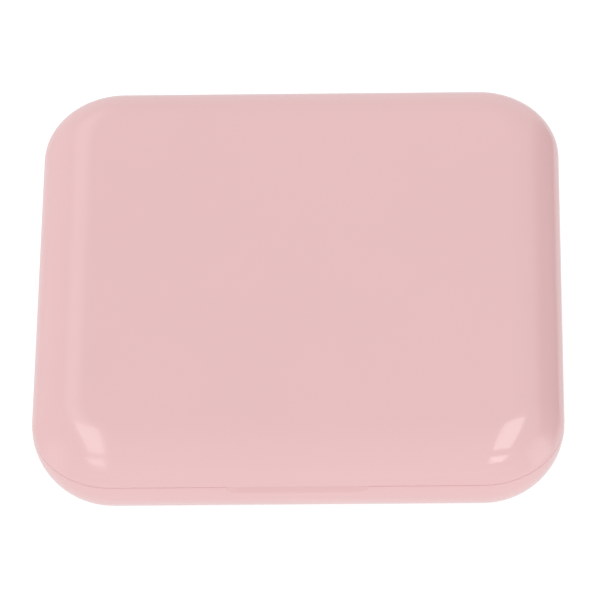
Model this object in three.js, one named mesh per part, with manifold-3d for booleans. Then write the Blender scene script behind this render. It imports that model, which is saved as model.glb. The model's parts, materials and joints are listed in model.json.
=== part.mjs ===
// A pocket contact lens travel case: a hinged two-part box with a mirror in its lid and a tray of
// lens-care tools in its base. Millimetres, +Z up. The origin is the middle of the underside, the
// front (with the thumb scoop) faces -Y and the hinge runs along X at the back.
import * as THREE from "three";
import { mergeVertices } from "three/addons/utils/BufferGeometryUtils.js";
import Module from "manifold-3d";

const wasm = await Module();
wasm.setup();

// ---- Driving dimensions ----
const WIDTH = 84;
const DEPTH = 81;
const HEIGHT = 18;
const CORNER_R = 13; // plan radius of the box corners
const SEAM_Z = 12; // parting line of lid and base
const SEAM_GAP = 0.3; // visible gap between the two rims
const WALL = 1.5; // lid wall and top
const BASE_WALL = { side: 2, floor: 1.4 };
const CLEAR = 0.3; // gap kept between neighbouring pieces
const LID_EDGE = { run: 8.4, rise: 5.9 }; // elliptical rounding round the lid's top
const BASE_EDGE = { run: 11.8, rise: 11.5 }; // elliptical rounding round the base's foot

const LIP = { outer: 1.4, inner: 2.3, top: 13 }; // the base's upstand, as insets of the outline
const RIM_INNER = 1.1; // inset of the lid rim's inner face, outside the lip
const RIM_TOP = 13.3;
const SNAP = { length: 16, proud: 0.11, height: 0.26, lidZ: 12.35, baseZ: 12.8 };
const SCOOP = { length: 21.2, radius: 2.4, depth: 0.85, z: 11.3 };

const HINGE = { y: 38.6, z: 9.8, stations: [-22, 22], lug: 7, side: 0.3, boss: 16, knuckleR: 1.55 };
const PIN = { r: 0.75, holeR: 0.84, length: 14.6 };
const NOTCH_FLOOR_Z = 7.4;
const BACK_RELIEF_R = 2.05; // the base's rear edge is rounded about the hinge axis

const MIRROR = { inset: 9, thick: 1.2, backZ: 16, cornerR: 4 };
const TAPE = { inset: 12, thick: 0.4, bottomZ: 16.05 };
const BEZEL = { outer: 7.9, inner: 8.7, bottomZ: 14.7 };

const WELL = { x: 14.5, y: -19.5, footZ: 1.7, rimZ: 11.4, innerR: 9.6, bodyR: 11.5, neckR: 11.1 };
const THREAD = { pitch: 2.2, startZ: 7.9, turns: 1.2, r: 0.42, sink: 0.1 }; // ridge round the well necks
const FLANGE = { r: 13.2, bottomZ: 4.9, topZ: 6 };
const CAP = { r: 13.2, bottomZ: 6.3, topZ: 13.5, roofZ: 12.3, boreR: 11.9, ribs: 30, ribDeep: 0.35 };
const GASKET = { bottomZ: 11.55, topZ: 12.15, innerR: 9.4, outerR: 11.6 };
const MARK_HIGH = 0.3; // raised L and R on the caps

const BOTTLE = { y: 5.1, z: 8.2, left: -26, right: 12, wide: 17, thick: 11, wall: 0.9, edge: 2.4 };
const NECK = { r: 4, boreR: 3, end: 20 };
const BOTTLE_CAP = { r: 5.4, boreR: 4.6, start: 14.4, end: 24.2, roof: 1.2, ribs: 20, ribDeep: 0.25 };

const TWEEZERS = { y: 21.1, z: 5.4, high: 4, left: -29.5, right: 29.5, tailWide: 5.4, tipGap: 6.2 };
const STICK = { y: 31, z: 8.4, left: -28.5, right: 28.5, r: 2.1, cupR: 2.9 };

const TRAY = { topZ: 9.6, thick: 1, wall: 0.8, inset: 2.8, floor: 0.6 };
const POCKETS = {
  bottle: { x: [-27.2, 25.6], y: [-4, 14.2], floorZ: 1.7, cornerR: 3 },
  tweezers: { x: [-31.5, 31.5], y: [15.1, 27.1], floorZ: 4.5, cornerR: 3 },
  stick: { x: [-30.5, 30.5], y: [27.7, 34.3], floorZ: 5.4, cornerR: 3.2 },
  cup: { x: [17.5, 30.5], y: [27.7, 34.3], floorZ: 4.6, cornerR: 3.2 },
};
const FINGER_ROOM = { x: [-8, 8], y: [14.4, 28.2], floorZ: 7 }; // across the walls behind the bottle
const LENS_HOLE_R = 13.7;
const LENS_SLEEVE_BOTTOM_Z = 3.6;

// ---- Facets to a quarter turn on the box ----
const OUTSIDE_STEPS = 7;
const INSIDE_STEPS = 4;

// ---- Colours ----
const finish = (color, roughness, metalness = 0) =>
  new THREE.MeshStandardMaterial({ color, roughness, metalness });
const PINK = finish(0xe7c0c1, 0.22);
const TRAY_PINK = finish(0xf0d3d2, 0.5);
const WHITE = finish(0xf4f2ee, 0.4);
const ROSE = finish(0xdb9aa5, 0.35);
const CLEAR_PLASTIC = finish(0xf3e8e6, 0.2);
const SILICONE = finish(0xf7e6e2, 0.6);
const STEEL = finish(0xc9ccd0, 0.3, 1);
const SILVERED = finish(0xeef1f3, 0.05, 1);
const FOAM = finish(0xe9e6e0, 0.9);

// ---- Solids ----
function solid(geometry) {
  const bare = geometry.index ? geometry.toNonIndexed() : geometry.clone();
  bare.deleteAttribute("normal");
  bare.deleteAttribute("uv");
  const merged = mergeVertices(bare, 1e-4);
  return new wasm.Manifold(
    new wasm.Mesh({
      numProp: 3,
      vertProperties: merged.attributes.position.array,
      triVerts: new Uint32Array(merged.index.array),
    }),
  );
}

function geometryOf(made) {
  const mesh = made.getMesh();
  return new THREE.BufferGeometry()
    .setAttribute("position", new THREE.BufferAttribute(mesh.vertProperties, 3))
    .setIndex(new THREE.BufferAttribute(mesh.triVerts, 1));
}

const join = (...parts) => parts.reduce((all, next) => all.add(next));
const box = (x, y, z) =>
  solid(
    new THREE.BoxGeometry(x[1] - x[0], y[1] - y[0], z[1] - z[0]).translate(
      (x[0] + x[1]) / 2,
      (y[0] + y[1]) / 2,
      (z[0] + z[1]) / 2,
    ),
  );

// A rounded rectangle between two corners.
function roundedRect([x0, x1], [y0, y1], r) {
  const shape = new THREE.Shape();
  shape.absarc(x1 - r, y1 - r, r, 0, Math.PI / 2);
  shape.absarc(x0 + r, y1 - r, r, Math.PI / 2, Math.PI);
  shape.absarc(x0 + r, y0 + r, r, Math.PI, Math.PI * 1.5);
  shape.absarc(x1 - r, y0 + r, r, Math.PI * 1.5, Math.PI * 2);
  return shape;
}

// The case's plan outline, moved in by a distance.
function outline(inset) {
  const x = WIDTH / 2 - inset;
  const y = DEPTH / 2 - inset;
  return roundedRect([-x, x], [-y, y], CORNER_R - inset);
}

// A shape extruded from z0 to z1.
function prism(shape, z0, z1, curveSegments = 6) {
  const upright = { depth: z1 - z0, bevelEnabled: false, curveSegments };
  return solid(new THREE.ExtrudeGeometry(shape, upright).translate(0, 0, z0));
}

// The band of the outline between two insets.
const band = (outer, inner, z0, z1) =>
  prism(outline(outer), z0, z1).subtract(prism(outline(inner), z0 - 1, z1 + 1));

// The outline with its upper edge rounded elliptically, its top at z and 20 mm deep under the
// rounding. The sides can be moved in by `side` and the top down by `end`.
function pillow({ run, rise }, z, side = 0, end = side) {
  const steps = side ? INSIDE_STEPS : OUTSIDE_STEPS;
  const rounding = { bevelSize: run - side, bevelThickness: rise - end, bevelSegments: steps };
  const depth = 20;
  const upright = new THREE.ExtrudeGeometry(outline(run), { depth, curveSegments: steps, ...rounding });
  return solid(upright.translate(0, 0, z - end - rounding.bevelThickness - depth));
}

// A solid of revolution about Z from [radius, z] points that start and end on the axis, bottom first.
const turned = (points, segments = 28) =>
  solid(
    new THREE.LatheGeometry(
      points.map(([r, z]) => new THREE.Vector2(r, z)),
      segments,
    ).rotateX(Math.PI / 2),
  );

// The same, laid along +X through (y, z): the points are [radius, x].
const turnedX = (points, y, z, segments = 24) =>
  turned(points, segments).rotate([0, 90, 0]).translate([0, y, z]);

const rod = (r, x0, x1, y, z, segments = 20) =>
  turnedX(
    [
      [0, x0],
      [r, x0],
      [r, x1],
      [0, x1],
    ],
    y,
    z,
    segments,
  );

const corner = (r, angle) => new THREE.Vector2(Math.cos(angle) * r, Math.sin(angle) * r);

// A round outline with shallow grip ribs.
function ribbed(r, ribs, deep) {
  const points = [];
  for (let i = 0; i < ribs * 2; i++) points.push(corner(i % 2 ? r - deep : r, (i / ribs) * Math.PI));
  return new THREE.Shape(points);
}

// ---- The box ----
const lidOuter = pillow(LID_EDGE, HEIGHT);
const baseOuter = pillow(BASE_EDGE, 0).mirror([0, 0, 1]);
const baseCavity = pillow(BASE_EDGE, 0, BASE_WALL.side, BASE_WALL.floor).mirror([0, 0, 1]);

function baseShell() {
  const rimZ = SEAM_Z - SEAM_GAP / 2;
  const below = box([-50, 50], [-50, 50], [-1, rimZ]);
  const bosses = HINGE.stations.map((x) =>
    box([x - HINGE.boss / 2, x + HINGE.boss / 2], [HINGE.y - 2, 45], [6.4, rimZ]).intersect(baseOuter),
  );
  const body = join(baseOuter.intersect(below).subtract(baseCavity), ...bosses);
  const behind = box([-50, 50], [HINGE.y, 50], [HINGE.z, 20]);
  const rolled = behind.subtract(rod(BACK_RELIEF_R, -51, 51, HINGE.y, HINGE.z, 48));
  const snap = box(
    [-SNAP.length / 2, SNAP.length / 2],
    [-DEPTH / 2 + LIP.outer - SNAP.proud, -DEPTH / 2 + LIP.outer + 0.2],
    [SNAP.baseZ - SNAP.height / 2, SNAP.baseZ + SNAP.height / 2],
  );
  const scoop = rod(
    SCOOP.radius,
    -SCOOP.length / 2,
    SCOOP.length / 2,
    -DEPTH / 2 - SCOOP.radius + SCOOP.depth,
    SCOOP.z,
    32,
  );
  const lip = band(LIP.outer, LIP.inner, rimZ - 0.8, LIP.top);
  let shell = join(body.subtract(rolled).subtract(scoop), lip, snap);
  for (const x of HINGE.stations) {
    const half = HINGE.lug / 2 + HINGE.side;
    shell = shell
      .subtract(box([x - half, x + half], [HINGE.y - 1.8, 50], [NOTCH_FLOOR_Z, 20]))
      .subtract(rod(PIN.holeR, x - HINGE.boss / 2 - 1, x + HINGE.boss / 2 + 1, HINGE.y, HINGE.z));
  }
  return shell;
}

function hingeLug(x) {
  const across = [x - HINGE.lug / 2, x + HINGE.lug / 2];
  const web = box(across, [HINGE.y - 1.1, HINGE.y + 1.7], [HINGE.z, SEAM_Z + 0.6]);
  const root = box(across, [HINGE.y - 0.5, 50], [SEAM_Z + 0.2, 14.2]).intersect(lidOuter);
  const knuckle = rod(HINGE.knuckleR, ...across, HINGE.y, HINGE.z, 28);
  return join(web, root, knuckle).subtract(rod(PIN.holeR, across[0] - 1, across[1] + 1, HINGE.y, HINGE.z));
}

function lidShell() {
  const rimZ = SEAM_Z + SEAM_GAP / 2;
  const above = box([-50, 50], [-50, 50], [rimZ, 30]);
  const hollow = pillow(LID_EDGE, HEIGHT, WALL);
  const snap = box(
    [-SNAP.length / 2, SNAP.length / 2],
    [-DEPTH / 2 + RIM_INNER - 0.2, -DEPTH / 2 + RIM_INNER + SNAP.proud],
    [SNAP.lidZ - SNAP.height / 2, SNAP.lidZ + SNAP.height / 2],
  );
  const body = lidOuter
    .intersect(above)
    .subtract(hollow)
    .subtract(prism(outline(RIM_INNER), 0, RIM_TOP));
  const bezel = band(BEZEL.outer, BEZEL.inner, BEZEL.bottomZ, HEIGHT - WALL + 0.2);
  return join(body, bezel, snap, ...HINGE.stations.map(hingeLug));
}

// ---- Tray ----
const lensHole = (r) => roundedRect([-WELL.x - r, WELL.x + r], [WELL.y - r, WELL.y + r], r);

function tray() {
  const deckZ = TRAY.topZ - TRAY.thick;
  let made = prism(outline(TRAY.inset), deckZ, TRAY.topZ);
  made = made.add(prism(lensHole(LENS_HOLE_R + TRAY.wall), LENS_SLEEVE_BOTTOM_Z, deckZ + 0.1, 8));
  for (const { x, y, floorZ, cornerR } of Object.values(POCKETS)) {
    const wide = ([low, high]) => [low - TRAY.wall, high + TRAY.wall];
    made = made.add(prism(roundedRect(wide(x), wide(y), cornerR + TRAY.wall), floorZ, deckZ + 0.1, 5));
  }
  made = made.subtract(prism(lensHole(LENS_HOLE_R), 0, 20, 8));
  for (const { x, y, floorZ, cornerR } of Object.values(POCKETS))
    made = made.subtract(prism(roundedRect(x, y, cornerR), floorZ + TRAY.floor, 20, 5));
  const { x, y, floorZ } = FINGER_ROOM;
  made = made.subtract(box(x, y, [floorZ, 20]));
  for (const x of HINGE.stations)
    made = made.subtract(
      box([x - HINGE.boss / 2 - CLEAR, x + HINGE.boss / 2 + CLEAR], [HINGE.y - 2 - CLEAR, 50], [5, 20]),
    );
  return made;
}

// ---- Mirror ----
const mirrorOutline = ({ inset, cornerR = 3 }) =>
  roundedRect([-WIDTH / 2 + inset, WIDTH / 2 - inset], [-DEPTH / 2 + inset, DEPTH / 2 - inset], cornerR);

// ---- Lens case ----
class Helix extends THREE.Curve {
  constructor(radius) {
    super();
    this.radius = radius;
  }
  getPoint(t, target = new THREE.Vector3()) {
    const { pitch, startZ, turns } = THREAD;
    const { x, y } = corner(this.radius, t * turns * Math.PI * 2);
    return target.set(x, y, startZ + t * turns * pitch);
  }
}

function threadRidge(radius) {
  const section = new THREE.Shape([0, 1, 2, 3, 4, 5].map((i) => corner(THREAD.r, (i * Math.PI) / 3)));
  return solid(new THREE.ExtrudeGeometry(section, { steps: 18, extrudePath: new Helix(radius) }));
}

function lensCaseBody() {
  const { x, y, footZ, rimZ, innerR, bodyR, neckR } = WELL;
  const cup = turned([
    [0, footZ],
    [bodyR - 2, footZ],
    [bodyR, footZ + 2],
    [bodyR, FLANGE.topZ],
    [neckR, FLANGE.topZ],
    [neckR, rimZ],
    [0, rimZ],
  ]);
  const bore = turned([
    [0, footZ + 1.2],
    [innerR - 2.6, footZ + 1.4],
    [innerR - 0.5, footZ + 3.2],
    [innerR, footZ + 5.2],
    [innerR, rimZ + 1],
    [0, rimZ + 1],
  ]);
  const across = [-x - FLANGE.r, x + FLANGE.r];
  const deep = [y - FLANGE.r, y + FLANGE.r];
  const deck = prism(roundedRect(across, deep, FLANGE.r), FLANGE.bottomZ, FLANGE.topZ, 8);
  const threaded = cup.add(threadRidge(neckR - THREAD.sink));
  const both = [-x, x];
  const body = join(deck, ...both.map((at) => threaded.translate([at, y, 0])));
  return both.reduce((made, at) => made.subtract(bore.translate([at, y, 0])), body);
}

// Block letters, drawn about their own middle: strokes 1.3 wide on a 6 high letter.
function markL() {
  const shape = new THREE.Shape();
  shape.moveTo(-1.9, -3).lineTo(1.9, -3).lineTo(1.9, -1.7);
  shape.lineTo(-0.6, -1.7).lineTo(-0.6, 3).lineTo(-1.9, 3);
  return shape;
}

function markR() {
  const shape = new THREE.Shape();
  shape.moveTo(-2, -3).lineTo(-0.7, -3).lineTo(-0.7, -0.6);
  shape.lineTo(0.1, -0.6).lineTo(1.1, -3).lineTo(2.5, -3);
  shape.lineTo(1.3, -0.3).absarc(0.3, 1.2, 1.8, -Math.PI / 3.2, Math.PI / 2).lineTo(-2, 3);
  const eye = new THREE.Path();
  eye.moveTo(-0.7, 0.5).lineTo(0.3, 0.5);
  eye.absarc(0.3, 1.15, 0.65, -Math.PI / 2, Math.PI / 2).lineTo(-0.7, 1.8);
  shape.holes.push(eye);
  return shape;
}

function wellCap(mark) {
  const bevel = 0.6;
  const skirt = solid(
    new THREE.ExtrudeGeometry(ribbed(CAP.r - bevel, CAP.ribs, CAP.ribDeep), {
      depth: CAP.topZ - CAP.bottomZ - 2 * bevel,
      bevelSize: bevel,
      bevelThickness: bevel,
      bevelSegments: 2,
    }).translate(0, 0, CAP.bottomZ + bevel),
  );
  const bore = turned([
    [0, 0],
    [CAP.boreR, 0],
    [CAP.boreR, CAP.roofZ],
    [0, CAP.roofZ],
  ]);
  return join(skirt, prism(mark, CAP.topZ - 0.2, CAP.topZ + MARK_HIGH, 5)).subtract(bore);
}

const gasket = () =>
  turned([
    [0, GASKET.bottomZ],
    [GASKET.outerR, GASKET.bottomZ],
    [GASKET.outerR, GASKET.topZ],
    [0, GASKET.topZ],
  ]).subtract(
    turned([
      [0, 0],
      [GASKET.innerR, 0],
      [GASKET.innerR, 20],
      [0, 20],
    ]),
  );

// ---- Solution bottle, lying along X ----
function flask(inset, x0, x1, edge) {
  const section = new THREE.Shape();
  section.absellipse(0, 0, BOTTLE.thick / 2 - inset - edge, BOTTLE.wide / 2 - inset - edge, 0, Math.PI * 2);
  return solid(
    new THREE.ExtrudeGeometry(section, {
      depth: x1 - x0 - 2 * edge,
      curveSegments: inset ? 10 : 14,
      bevelSize: edge,
      bevelThickness: edge,
      bevelSegments: inset ? 2 : 3,
    })
      .translate(0, 0, x0 + edge)
      .rotateY(Math.PI / 2)
      .translate(0, BOTTLE.y, BOTTLE.z),
  );
}

function bottleBody() {
  const { y, z, left, right, wall, edge } = BOTTLE;
  const neck = turnedX(
    [
      [0, right - 2],
      [NECK.r + 0.8, right - 2],
      [NECK.r + 0.8, right + 1.2],
      [NECK.r, right + 1.8],
      [NECK.r, 16.2],
      [NECK.r + 0.35, 16.6],
      [NECK.r, 17],
      [NECK.r, NECK.end],
      [0, NECK.end],
    ],
    y,
    z,
  );
  const hollow = flask(wall, left + wall, right - wall, edge - wall);
  const bore = rod(NECK.boreR, 5, NECK.end + 1, y, z, 24);
  return join(flask(0, left, right, edge), neck).subtract(join(hollow, bore));
}

const dropperPlug = () =>
  turnedX(
    [
      [0, 15],
      [NECK.boreR - 0.15, 15],
      [NECK.boreR - 0.15, NECK.end + 0.1],
      [3.8, NECK.end + 0.1],
      [3.8, NECK.end + 0.8],
      [1.7, NECK.end + 0.8],
      [1, NECK.end + 2.5],
      [0, NECK.end + 2.5],
    ],
    BOTTLE.y,
    BOTTLE.z,
  ).subtract(rod(0.5, 0, 40, BOTTLE.y, BOTTLE.z, 12));

function bottleCap() {
  const { r, boreR, start, end, roof, ribs, ribDeep } = BOTTLE_CAP;
  const bevel = 0.5;
  return solid(
    new THREE.ExtrudeGeometry(ribbed(r - bevel, ribs, ribDeep), {
      depth: end - start - 2 * bevel,
      bevelSize: bevel,
      bevelThickness: bevel,
      bevelSegments: 2,
    })
      .translate(0, 0, start + bevel)
      .rotateY(Math.PI / 2)
      .translate(0, BOTTLE.y, BOTTLE.z),
  ).subtract(rod(boreR, 0, end - roof, BOTTLE.y, BOTTLE.z, 28));
}

// ---- Tweezers: two arms that meet at the tail. side is +1 for the arm further back ----
const ARM_GAP = 0.35; // between the two arms' tails
const PAD_FROM = 19; // where the soft tip's sleeve starts
const SLEEVE = 0.9; // the sleeve's wall above and below the arm
const GRIP = { from: -6, step: 2.4, wide: 1.1, out: 4.7, deep: 0.4 }; // grooves for the fingers

function armShape(side) {
  const { left, right, tailWide, tipGap } = TWEEZERS;
  const shape = new THREE.Shape();
  const inner = side * (ARM_GAP / 2);
  shape.moveTo(left, inner);
  shape.lineTo(left + 9, inner);
  shape.quadraticCurveTo(left + 22, side * 2.5, 4, side * 2.6);
  shape.lineTo(right - 1.5, side * (tipGap / 2));
  shape.lineTo(right - 1.5, side * (tipGap / 2 + 1.1));
  shape.lineTo(4, side * 4.4);
  shape.quadraticCurveTo(left + 20, side * 4.8, left + 6, side * (tailWide / 2));
  shape.quadraticCurveTo(left, side * (tailWide / 2), left, inner);
  return shape;
}

// The soft sleeve over an arm's end, with a rounded paddle.
function padShape(side) {
  const { right, tipGap } = TWEEZERS;
  const shape = new THREE.Shape();
  const inner = side * (tipGap / 2 - 0.75);
  const outer = side * (tipGap / 2 + 2);
  shape.moveTo(PAD_FROM, inner + side * 0.35);
  shape.lineTo(PAD_FROM, outer + side * 0.35);
  shape.lineTo(right - 1.2, outer - side * 0.3);
  shape.quadraticCurveTo(right, side * (tipGap / 2 + 1.2), right, side * (tipGap / 2 + 0.6));
  shape.quadraticCurveTo(right, inner, right - 1.4, inner);
  return shape;
}

const lift = (shape, z0, z1) => prism(shape, z0, z1, 7).translate([0, TWEEZERS.y, 0]);

function tweezersArm(side) {
  const { z, high } = TWEEZERS;
  const grips = [0, 1, 2, 3].map((i) => {
    const x = GRIP.from + i * GRIP.step;
    const y = TWEEZERS.y + side * GRIP.out;
    return box([x, x + GRIP.wide], [y - GRIP.deep, y + GRIP.deep], [z - 1, z + high + 1]);
  });
  const thinned = [[0, z + SLEEVE], [z + high - SLEEVE, 30]];
  const slim = thinned.map((across) => box([PAD_FROM - 0.4, 40], [0, 50], across));
  return lift(armShape(side), z, z + high).subtract(join(...grips, ...slim));
}

function tweezersPad(side) {
  const { z, high } = TWEEZERS;
  const tip = box([0, 40], [0, 50], [z + SLEEVE - CLEAR, z + high - SLEEVE + CLEAR]);
  const core = tip.intersect(lift(armShape(side), 0, 20));
  const shifts = [0, CLEAR].flatMap((x) => [[x, CLEAR, 0], [x, -CLEAR, 0]]);
  const room = join(...shifts.map((shift) => core.translate(shift)));
  return lift(padShape(side), z, z + high).subtract(room);
}

// ---- Suction stick, lying along X ----
const stickHandle = () =>
  turnedX(
    [
      [0, STICK.left],
      [1.3, STICK.left + 0.2],
      [STICK.r, STICK.left + 1.4],
      [STICK.r, STICK.left + 15],
      [1.5, STICK.left + 20],
      [1.5, 12],
      [STICK.r, 15],
      [STICK.r, 18.6],
      [1.2, 18.6],
      [1.2, 23],
      [0, 23],
    ],
    STICK.y,
    STICK.z,
    20,
  );

const stickCup = () =>
  turnedX(
    [
      [0, 18.9],
      [STICK.r, 18.9],
      [STICK.r, 23.6],
      [1.4, 25.2],
      [2.2, 26.9],
      [STICK.cupR, STICK.right],
      [STICK.cupR - 0.5, STICK.right],
      [1.7, 27.1],
      [0, 26.2],
    ],
    STICK.y,
    STICK.z,
    20,
  ).subtract(rod(1.5, 10, 23.3, STICK.y, STICK.z, 16));

// ---- Assembly ----
const lensCase = new THREE.Group();
const contactLensCase = new THREE.Group();

function place(name, made, material, parent = contactLensCase) {
  const mesh = new THREE.Mesh(geometryOf(made), material);
  mesh.name = name;
  parent.add(mesh);
  return mesh;
}

place("base_shell", baseShell(), PINK);
place("lid_shell", lidShell(), PINK);
place("inner_tray", tray(), TRAY_PINK);
place("mirror", prism(mirrorOutline(MIRROR), MIRROR.backZ - MIRROR.thick, MIRROR.backZ, 6), SILVERED);
place("mirror_tape", prism(mirrorOutline(TAPE), TAPE.bottomZ, TAPE.bottomZ + TAPE.thick, 4), FOAM);
for (const [side, x] of [["left", HINGE.stations[0]], ["right", HINGE.stations[1]]]) {
  const half = PIN.length / 2;
  place("hinge_pin_" + side, rod(PIN.r, x - half, x + half, HINGE.y, HINGE.z, 16), STEEL);
}

contactLensCase.add(lensCase);
place("lens_case_body", lensCaseBody(), WHITE, lensCase);
const CAPS = [["left", -WELL.x, markL(), ROSE], ["right", WELL.x, markR(), WHITE]];
for (const [side, x, mark, material] of CAPS) {
  place("well_cap_" + side, wellCap(mark), material, lensCase).position.set(x, WELL.y, 0);
  place("cap_gasket_" + side, gasket(), SILICONE, lensCase).position.set(x, WELL.y, 0);
}

place("bottle_body", bottleBody(), CLEAR_PLASTIC);
place("bottle_dropper_plug", dropperPlug(), CLEAR_PLASTIC);
place("bottle_cap", bottleCap(), ROSE);

place("tweezers_arm_front", tweezersArm(-1), ROSE);
place("tweezers_arm_back", tweezersArm(1), ROSE);
place("tweezers_pad_front", tweezersPad(-1), SILICONE);
place("tweezers_pad_back", tweezersPad(1), SILICONE);
place("stick_handle", stickHandle(), ROSE);
place("stick_suction_cup", stickCup(), SILICONE);

export default contactLensCase;
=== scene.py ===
"""The looks of a pocket contact lens travel case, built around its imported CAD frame.

Lengths in the shape code are millimetres in the CAD frame (origin under the middle of the base,
+Z up, hinge towards +Y); mesh_object turns them into metres.
"""

import json
import math

import bmesh
import bpy
from mathutils import Matrix, Vector


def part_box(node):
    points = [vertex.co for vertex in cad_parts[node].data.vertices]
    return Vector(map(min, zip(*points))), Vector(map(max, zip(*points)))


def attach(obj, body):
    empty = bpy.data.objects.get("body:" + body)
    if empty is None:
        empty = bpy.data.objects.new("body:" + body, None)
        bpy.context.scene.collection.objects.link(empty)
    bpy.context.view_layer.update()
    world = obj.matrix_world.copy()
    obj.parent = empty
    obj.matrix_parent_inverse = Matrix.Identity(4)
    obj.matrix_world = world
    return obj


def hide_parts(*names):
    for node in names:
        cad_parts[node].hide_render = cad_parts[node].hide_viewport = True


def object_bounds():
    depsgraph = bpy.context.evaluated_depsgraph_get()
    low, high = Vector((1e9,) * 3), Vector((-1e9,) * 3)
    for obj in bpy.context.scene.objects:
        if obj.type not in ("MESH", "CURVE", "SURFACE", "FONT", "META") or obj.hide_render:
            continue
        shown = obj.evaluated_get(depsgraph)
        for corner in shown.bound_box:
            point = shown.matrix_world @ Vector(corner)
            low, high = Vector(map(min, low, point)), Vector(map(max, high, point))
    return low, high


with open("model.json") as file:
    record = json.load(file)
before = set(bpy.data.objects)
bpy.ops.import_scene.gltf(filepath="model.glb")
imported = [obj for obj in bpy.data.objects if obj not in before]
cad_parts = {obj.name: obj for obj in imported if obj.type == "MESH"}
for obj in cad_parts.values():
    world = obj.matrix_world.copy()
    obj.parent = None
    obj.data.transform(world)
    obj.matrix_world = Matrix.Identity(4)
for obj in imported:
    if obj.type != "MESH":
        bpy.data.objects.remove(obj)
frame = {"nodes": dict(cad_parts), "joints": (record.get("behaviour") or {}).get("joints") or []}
cad_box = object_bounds()

MM = 0.001
SHARP_DEG = 35  # edges steeper than this stay crisp
WELD = 1e-7  # points closer than this, in metres, become one


def box_mm(node):
    """A CAD node's lowest and highest corners, in millimetres."""
    low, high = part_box(node)
    return low / MM, high / MM


def middle(node):
    low, high = box_mm(node)
    return (low + high) / 2


# ---- The case's main dimensions ----
cad_low, cad_high = (corner / MM for corner in cad_box)
WIDTH = round(cad_high.x - cad_low.x, 1)
DEPTH = round(cad_high.y - cad_low.y, 1)
HEIGHT = cad_high.z
CASE_X = (-WIDTH / 2, WIDTH / 2)
CASE_Y = (-DEPTH / 2, DEPTH / 2)
FAR = DEPTH  # well past the case, for tools that cut right through
ABOVE = 20.0  # over the whole case, likewise
CLEAR = 0.3  # the gap that pieces keep to each other
CORNER_R = 13.0
SEAM_Z = 12.0
SEAM_SHOWS = 0.025  # the two rims' gap
RIM_ROUND, RIM_BAND = 0.2, 0.45  # a rim's rounding, and the straight band beside it
LID_EDGE = (8.4, 5.9)  # run and rise of the elliptical rounding round the lid's top
BASE_EDGE = (11.8, 11.5)
LID_WALL = 1.5
BASE_SIDE, BASE_FLOOR = 2.0, 1.4
LIP = (1.4, 2.3)  # the base's upstand, as insets of the outline
LIP_TOP = box_mm("base_shell")[1].z
LIP_ROOT, BASE_CURVE_TOP = 11.1, 10.6  # heights of the lip's foot and of the end of the inner curve
RIM_INNER, RIM_TOP = 1.1, 13.3  # the lid's rim: its inner inset, and the step over the lip
BEZEL = (7.9, 8.7)  # the mirror's frame, as insets of the outline
BEZEL_Z = 14.7
MIRROR_R, MIRROR_GRIND = 4.0, 0.3
SNAP_LENGTH, SNAP_R, SNAP_PROUD, SNAP_LID_Z, SNAP_BASE_Z = 16.0, 0.28, 0.11, 12.42, 12.8
SCOOP_LENGTH, SCOOP_R, SCOOP_DEPTH, SCOOP_Z = 22.6, 2.3, 0.5, 11.95
SCOOP_RUN = 2.2  # the length over which each end of the scoop runs out

joints = {joint["name"]: joint for joint in frame["joints"]}
HINGE_Y, HINGE_Z = (value / MM for value in joints["lid_hinge"]["pos_m"][1:])
HINGE_XS = [middle("hinge_pin_" + side).x for side in ("left", "right")]
LUG, NOTCH, BOSS = 7.0, 7.6, 16.0  # widths along the hinge
KNUCKLE_R, PIN_HOLE_R, BACK_RELIEF_R = 1.55, 0.84, 2.05
NOTCH_FLOOR_Z, BOSS_FLOOR_Z = 7.4, 6.4
NOTCH_REACH, BOSS_REACH = 1.8, 2.0  # how far they go inwards from the hinge
BOSS_BACK = 1.1  # the bosses' inset at the back

# ---- The tray's and the tools' dimensions ----
WELL_X, WELL_Y = middle("well_cap_right").xy
WELL_BODY_R, WELL_NECK_R, WELL_R = 11.5, 11.1, 9.6
FLANGE_Z = (4.9, 6.0)
THREAD_Z, THREAD_PITCH, THREAD_TURNS, THREAD_R = 7.9, 2.2, 1.2, 0.42
THREAD_FADE, THREAD_THIN = 0.08, 0.35  # the share of its length that fades in, and its size there
THREAD_SINK = 0.15  # how deep its middle line lies in the neck
CAP_BORE_R, CAP_ROOF_Z, CAP_DISH, MARK_HIGH = 11.9, 12.3, 0.18, 0.3
GASKET_HOLE_R = 9.4

TRAY_Z = box_mm("inner_tray")[1].z
TRAY_THICK, TRAY_WALL, TRAY_INSET, TRAY_FLOOR = 1.0, 0.8, 2.8, 0.6
LENS_HOLE_R, SLEEVE_Z = 13.7, 3.6
POCKETS = (  # x, y, underside height, corner radius
    ((-27.2, 25.6), (-4, 14.2), 1.7, 3),
    ((-31.5, 31.5), (15.1, 27.1), 4.5, 3),
    ((-30.5, 30.5), (27.7, 34.3), 5.4, 3.2),
    ((17.5, 30.5), (27.7, 34.3), 4.6, 3.2),
)
FINGER_ROOM = ((-8, 8), (14.4, 28.2), 7, 1.5)  # x, y, floor height, corner radius
BOSS_ROOM_Z = 5.0

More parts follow.
